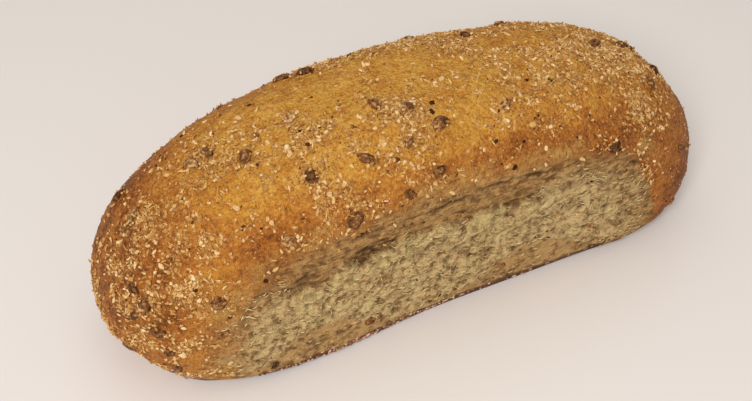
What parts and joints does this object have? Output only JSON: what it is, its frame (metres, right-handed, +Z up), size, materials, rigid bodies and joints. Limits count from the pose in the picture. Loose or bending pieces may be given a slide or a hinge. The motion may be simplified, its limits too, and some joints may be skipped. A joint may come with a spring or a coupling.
{
  "type": "wholegrain tin loaf",
  "caption": "Long wholegrain loaf with rounded ends, a domed grain-strewn crust, a flat bottom and one long side torn where it was pulled from its neighbour.",
  "frame": {"origin": "on the flat bottom crust, in the middle of the loaf's length and width", "axes": "+X along the loaf, +Z up through the crown, and the torn side faces -Y"},
  "size_m": [0.29, 0.1134, 0.1051],
  "materials": {
    "crust": "matte",
    "bran_flake": "matte",
    "malted_kernel": "satin"
  },
  "bodies": {
    "root": {"loaf": "crust"}
  },
  "joints": []
}
